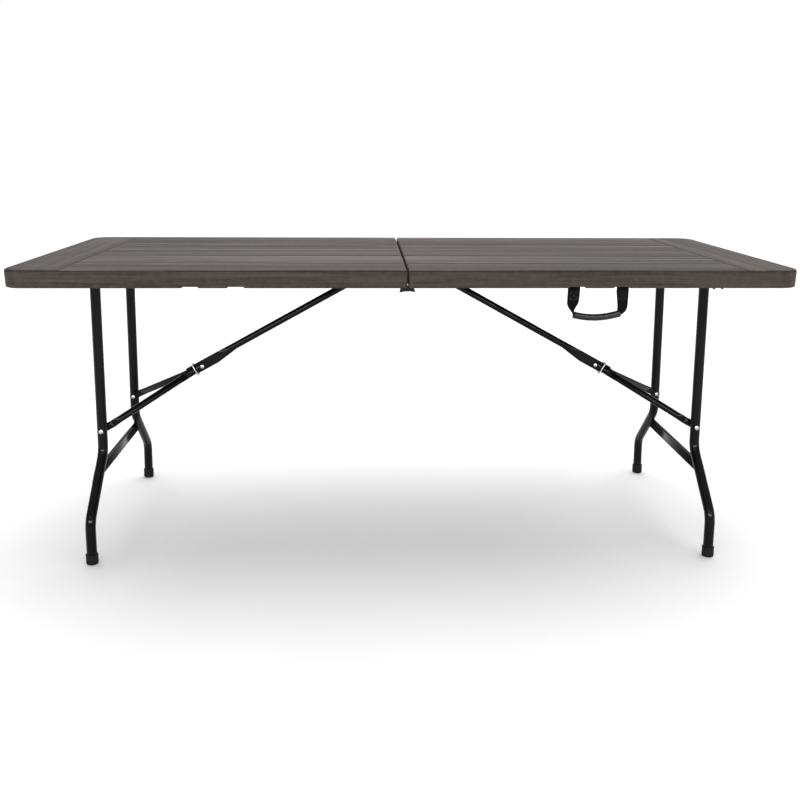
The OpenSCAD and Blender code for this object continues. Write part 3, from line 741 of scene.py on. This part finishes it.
def head_profile(radius, height):
    """Domed rivet head with the hole of its hollow shank in the middle."""
    return [
        (radius * 0.98, 0.0), (radius, height * 0.12), (radius * 0.97, height * 0.34),
        (radius * 0.86, height * 0.62), (radius * 0.68, height * 0.84), (radius * 0.46, height * 0.97),
        (radius * 0.40, height), (radius * 0.35, height * 0.90), (radius * 0.31, height * 0.22),
        (radius * 0.04, height * 0.10),
    ]


def add_head(bm, x, z, y, way, radius, height):
    """Rivet head whose flat side is at y, domed toward way."""
    place = Matrix.Translation((x, y, z)) @ Matrix.Rotation(-way * math.pi / 2, 4, "X")
    add_lathe(bm, head_profile(radius, height), place, sides=28)


def build_rivets():
    for side, _ in SIDES:
        specs = (
            ("leg_rivets", "leg_frame", 6.0 * MM, 2.4 * MM, 1, 25 * MM),
            ("elbow_rivet", "lower_strut", 5.5 * MM, 2.2 * MM, 1, 12 * MM),
            ("arm_rivet_tails", "lower_strut", 5.5 * MM, 2.2 * MM, -1, 3 * MM),
        )
        for name, body, radius, height, way, shank in specs:
            node = f"{side}_{name}"
            low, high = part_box(node)
            x, z = (low.x + high.x) / 2, (low.z + high.z) / 2
            bm = bmesh.new()
            for end in (-1, 1):
                seat = high.y - (height if way > 0 else shank)
                add_head(bm, x, z, end * seat, end * way, radius, height)
                stop = seat - way * shank
                shank_line = [Vector((x, end * seat, z)), Vector((x, end * stop, z))]
                add_tube(bm, shank_line, SHANK_R, sides=20)
            make_piece(node + "_turned", cleaned(bm, node), ZINC, f"{side}_{body}", [node], 40.0)


def build_lock_rings():
    """Rounded rectangles of wire round the flattened ends at the elbows."""
    along = (ELBOW - BRACE_PIN).normalized()
    for side, sign in SIDES:
        node = side + "_lock_ring"
        low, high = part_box(node)
        middle = (low + high) / 2
        axis = Vector((sign * along.x, 0, along.z))
        up = Vector((-axis.z * sign, 0, axis.x * sign))
        half_w, half_h, r = 11.5 * MM, 16.2 * MM, 6 * MM
        steps = 8
        path = []
        for k, (sy, sz) in enumerate(((1, 1), (-1, 1), (-1, -1), (1, -1))):
            centre = Vector((sy * (half_w - r), sz * (half_h - r)))
            for step in range(steps + 1):
                a = math.pi / 2 * (k + step / steps)
                p = centre + r * Vector((math.cos(a), math.sin(a)))
                path.append(middle + Vector((0, p.x, 0)) + up * p.y)
        bm = bmesh.new()
        add_tube(bm, path, WIRE_R, sides=14, closed=True)
        make_piece(node + "_wire", cleaned(bm, node), ZINC, side + "_ring", [node], 60.0)


# ---- Carry handle ----

# How each strap gathers into the sleeve: height, edge away from the grip, edge toward the grip, in mm
STRAP_FOLDS = {
    "inner": [(690, -14, 14), (672, -14, 13.2), (663, -14, 11.4), (655, -11.4, 7.2), (646, -5.0, 3.3),
              (640, -0.8, 5.0), (634, 1.9, 9.2), (629, 3.4, 10.8)],
    "outer": [(690, -14, 14), (672, -14, 11.4), (658, -14, 9.6), (648, -12.0, 9.2), (640, -5.6, 10.2),
              (633, 4.6, 11.8)],
}


def eased(stations, parts):
    """Smooth curve through the stations (Catmull-Rom), with so many parts between each two."""
    points = [Vector(p) * MM for p in stations]
    points = [points[0]] + points + [points[-1]]
    curve = []
    for a, b, c, d in zip(points, points[1:], points[2:], points[3:]):
        for k in range(parts):
            t = k / parts
            curve.append(b + ((c - a) * t + (2 * a - 5 * b + 4 * c - d) * t ** 2
                              + (3 * b - a - 3 * c + d) * t ** 3) / 2)
    return curve + [points[-1]]


def strap_rows(name):
    """(height, edge away from the grip, edge toward the grip) down one strap."""
    heights = (724, 719, 714, 709, 705, 702, 700, 697, 693)
    straight = [(z * MM, -STRAP_HALF, STRAP_HALF) for z in heights]
    return straight + [tuple(p) for p in eased(STRAP_FOLDS[name], 3)]


def strap_depth(z):
    """Y of the middle of the strap: against the rim above the axis, hanging free below it."""
    tab = -HALF_DEPTH + RIM_WALL + 0.95 * MM
    leaves_rim, run = 700 * MM, 6 * MM
    share = min(1.0, max(0.0, (z - leaves_rim) / run))
    return HANDLE.y + (tab - HANDLE.y) * share * share * (3 - 2 * share)


def strap_ring(centre_x, turn, row):
    """Cross-section of the webbing: flat with rounded selvedges, a little cupped near the grip."""
    z, away, toward = row
    depth = strap_depth(z)
    cup_from, cup_run = 660 * MM, 24 * MM
    cup = 1.6 * MM * min(1.0, max(0.0, (cup_from - z) / cup_run))
    across = 8
    ring = []
    for face, order in ((-1, range(across + 1)), (1, range(across, -1, -1))):
        for k in order:
            thin = 0.55 if k in (0, across) else 1.0
            ring.append((k / across, face * STRAP_HALF_T * thin))
    return [
        Vector((centre_x + turn * (away + (toward - away) * share),
                depth + offset + cup * (2 * share - 1) ** 2 - cup * 0.5, z))
        for share, offset in ring
    ]


def add_stitches(bm, centre_x):
    """A box of raised thread dashes where the strap is sewn back on itself."""
    low, high, half = 672 * MM, 690 * MM, 8.5 * MM
    corners = [(-half, low), (half, low), (half, high), (-half, high)]
    runs = list(zip(corners, corners[1:] + corners[:1]))
    runs += [(corners[0], corners[2]), (corners[1], corners[3])]
    dash, gap = 1.9 * MM, 1.0 * MM
    thread_r, proud = 0.3 * MM, 0.35 * MM
    for face in (-1, 1):
        for (x0, z0), (x1, z1) in runs:
            length = math.hypot(x1 - x0, z1 - z0)
            for k in range(int(length / (dash + gap))):
                s = (k * (dash + gap) + gap / 2) / length
                e = s + dash / length
                path = []
                for t, extra in ((s, 0.0), ((s + e) / 2, proud), (e, 0.0)):
                    x = centre_x + x0 + (x1 - x0) * t
                    lift = STRAP_HALF_T + extra
                    path.append(Vector((x, HANDLE.y + face * lift, z0 + (z1 - z0) * t)))
                add_tube(bm, path, thread_r, sides=6)


def build_straps():
    for name, turn in (("inner", 1), ("outer", -1)):
        centre_x = HANDLE.x - turn * STRAP_PITCH / 2
        bm = bmesh.new()
        add_rings(bm, [strap_ring(centre_x, turn, row) for row in strap_rows(name)])
        mesh = cleaned(bm, f"strap_{name}")
        mesh.materials.append(WEBBING)
        mesh.shade_smooth()
        mesh.set_sharp_from_angle(angle=math.radians(60))
        strap = bpy.data.objects.new(f"strap_{name}", mesh)
        bpy.context.collection.objects.link(strap)
        nodes = [f"handle_strap_{name}"] + (["strap_anchor_tabs"] if name == "inner" else [])
        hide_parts(*nodes)
        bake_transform(strap)
        stitches = bmesh.new()
        add_stitches(stitches, centre_x)
        make_piece(f"strap_{name}_stitches", cleaned(stitches, "stitches"), THREAD, "handle", [],
                   60.0)


def grip_point(angle, arc_r, tilt):
    """Point on the sagging centre line of the sleeve, which hangs a little lower on its inner end."""
    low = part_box("handle_grip")[0].z + GRIP_R
    x = arc_r * math.sin(angle)
    return Vector((HANDLE.x + x, HANDLE.y, low + arc_r * (1 - math.cos(angle)) + tilt * x))


def build_grip():
    """Ribbed sleeve: a squarish section swept along the sag, with a smooth collar at each end."""
    arc_r = ((GRIP_LEN / 2) ** 2 + GRIP_SAG ** 2) / (2 * GRIP_SAG)
    half = math.asin(GRIP_LEN / 2 / arc_r)
    steps, sides = 90, 32
    tilt = 0.035
    squareness = 2.6
    pitch, collar_len, ribs_from, lip_len = 6.5 * MM, 5 * MM, 7 * MM, 1.6 * MM
    rings = []
    for k in range(steps + 1):
        share = k / steps
        angle = half * (2 * share - 1)
        centre = grip_point(angle, arc_r, tilt)
        up = Vector((-math.sin(angle), 0, math.cos(angle)))
        end = min(share, 1 - share) * GRIP_LEN
        collar = 1.0 if end < collar_len else 0.93
        ridge = 0.0
        if end > ribs_from:
            ridge = RIB_H * (0.5 + 0.5 * math.cos(2 * math.pi * end / pitch))
        lip = math.sqrt(max(0.0, 1 - max(0.0, 1 - end / lip_len) ** 2))
        r = GRIP_R * (collar - RIB_H + ridge) * (0.72 + 0.28 * lip)
        ring = []
        for i in range(sides):
            a = 2 * math.pi * i / sides
            c, s = math.cos(a), math.sin(a)
            flat = 1 / (abs(c) ** squareness + abs(s) ** squareness) ** (1 / squareness)
            ring.append(centre + r * flat * (0.93 * s * up + Vector((0, 0.86 * c, 0))))
        rings.append(ring)
    bm = bmesh.new()
    add_rings(bm, rings)
    make_piece("grip_sleeve", cleaned(bm, "grip"), SLEEVE, "handle", ["handle_grip"], 50.0)


# ---- Everything else keeps its CAD shape ----

def dress_frame():
    for side, _ in SIDES:
        for name, body in (("upper_brace", "upper_strut"), ("front_lower_arm", "lower_strut"),
                           ("back_lower_arm", "lower_strut"), ("pivot_tube", "leg_frame"),
                           ("crossbar", "leg_frame")):
            smooth_copy(f"{side}_{name}", f"{side}_{body}", TUBE)
        for name in ("front_rail", "back_rail", "seam_beam", "brace_bracket", "pivot_brackets",
                     "front_hinge_leaf", "back_hinge_leaf"):
            paint(f"{side}_{name}", STEEL)
        for name in ("brace_pin", "rail_screws"):
            paint(f"{side}_{name}", ZINC)
    for name in ("front_hinge_pin", "back_hinge_pin", "strap_anchor_plates"):
        paint(name, STEEL)
    paint("strap_anchor_screws", ZINC)
    paint("edge_bumpers", FOOT)


def paint(node, material):
    for slot in frame["nodes"][node].material_slots:
        slot.material = material


# ---- Studio ----

FRONT_SKY = 0.62                # studio walls behind the camera
BACK_SKY = 1.0                  # white background behind the table
LEFT_SKY = 0.36                 # grey flags to the left and right
RIGHT_SKY = 0.50
FLOOR_DROP = 0.4 * MM           # keeps the floor just under the feet


def build_floor():
    s = Shader("studio_floor")
    patch = s.noise((1.5, 1.5, 1.5), detail=2.0)
    colour = s.ramp(patch, [(0.3, (0.92, 0.92, 0.92)), (0.7, (0.94, 0.94, 0.94))])
    material = s.finish(colour, 0.9)
    half = 30.0
    corners = ((-half, -half), (half, -half), (half, half), (-half, half))
    bm = bmesh.new()
    bm.faces.new([bm.verts.new((x, y, -FLOOR_DROP)) for x, y in corners])
    mesh = bpy.data.meshes.new("studio_floor")
    bm.to_mesh(mesh)
    bm.free()
    mesh.materials.append(material)
    mesh.shade_smooth()
    floor = bpy.data.objects.new("studio_floor", mesh)
    bpy.context.collection.objects.link(floor)


def add_softbox(name, place, aim, size, power):
    """Rectangular lamp at a place, turned toward the aim and hidden from the camera."""
    light = bpy.data.lights.new(name, "AREA")
    light.shape = "RECTANGLE"
    light.size, light.size_y = size
    light.energy = power
    lamp = bpy.data.objects.new(name, light)
    lamp.location = place
    lamp.rotation_euler = (Vector(aim) - Vector(place)).to_track_quat("-Z", "Y").to_euler()
    lamp.visible_camera = False
    bpy.context.collection.objects.link(lamp)
    return lamp


def build_world():
    """White surroundings, dimmed in front of the table and at its two sides."""
    world = bpy.data.worlds.new("studio")
    world.use_nodes = True
    tree = world.node_tree
    tree.nodes["Background"].inputs["Color"].default_value = (1, 1, 1, 1)
    direction = tree.nodes.new("ShaderNodeTexCoord")
    axes = tree.nodes.new("ShaderNodeSeparateXYZ")
    tree.links.new(direction.outputs["Generated"], axes.inputs[0])
    strength = None
    for axis, low, high, at_low, at_high in (
        ("Y", -0.5, 0.2, FRONT_SKY, BACK_SKY),
        ("X", -0.9, -0.5, LEFT_SKY, BACK_SKY),
        ("X", 0.55, 0.9, BACK_SKY, RIGHT_SKY),
    ):
        dimmer = tree.nodes.new("ShaderNodeMapRange")
        tree.links.new(axes.outputs[axis], dimmer.inputs["Value"])
        ends = (("From Min", low), ("From Max", high), ("To Min", at_low), ("To Max", at_high))
        for name, number in ends:
            dimmer.inputs[name].default_value = number
        if strength is None:
            strength = dimmer.outputs[0]
            continue
        darker = tree.nodes.new("ShaderNodeMath")
        darker.operation = "MINIMUM"
        tree.links.new(strength, darker.inputs[0])
        tree.links.new(dimmer.outputs[0], darker.inputs[1])
        strength = darker.outputs[0]
    tree.links.new(strength, tree.nodes["Background"].inputs["Strength"])
    bpy.context.scene.world = world


def build_studio():
    build_floor()
    build_world()
    sky = bpy.data.lights.new("overhead", "SUN")
    sky.energy = 1.66
    sky.angle = math.radians(70)
    lamp = bpy.data.objects.new("overhead", sky)
    lamp.rotation_euler = (math.radians(-22), math.radians(8), 0)
    bpy.context.collection.objects.link(lamp)
    add_softbox("front_strip", (-0.9, -2.9, 2.5), (-0.2, 0, 0.4), (2.6, 0.25), 16)
    add_softbox("front_right", (2.6, -2.8, 1.3), (0.3, 0, 0.6), (1.2, 1.2), 14)
    glint = add_softbox("glint_strip", (-0.3, -3.4, 1.4), (0, 0, 0.5), (5.0, 0.30), 150)
    glint.visible_diffuse = False
    bpy.context.scene.view_settings.view_transform = "Standard"


def build_camera():
    """The camera fitted to the photo: lens in mm, then its right and up directions and its place."""
    camera = bpy.data.cameras.new("camera")
    camera.lens = 39.493
    camera.sensor_width = 36
    shot = bpy.data.objects.new("camera", camera)
    right = Vector((0.99915, -0.04087, 0.00612))
    up = Vector((0.00544, 0.27684, 0.96090))
    turn = Matrix((right, up, right.cross(up))).transposed().to_4x4()
    shot.matrix_world = Matrix.Translation((-0.1000, -2.3251, 1.0030)) @ turn
    bpy.context.collection.objects.link(shot)
    bpy.context.scene.camera = shot


build_tops()
build_legs()
build_foot_caps()
build_rivets()
build_lock_rings()
build_straps()
build_grip()
dress_frame()
build_studio()
build_camera()
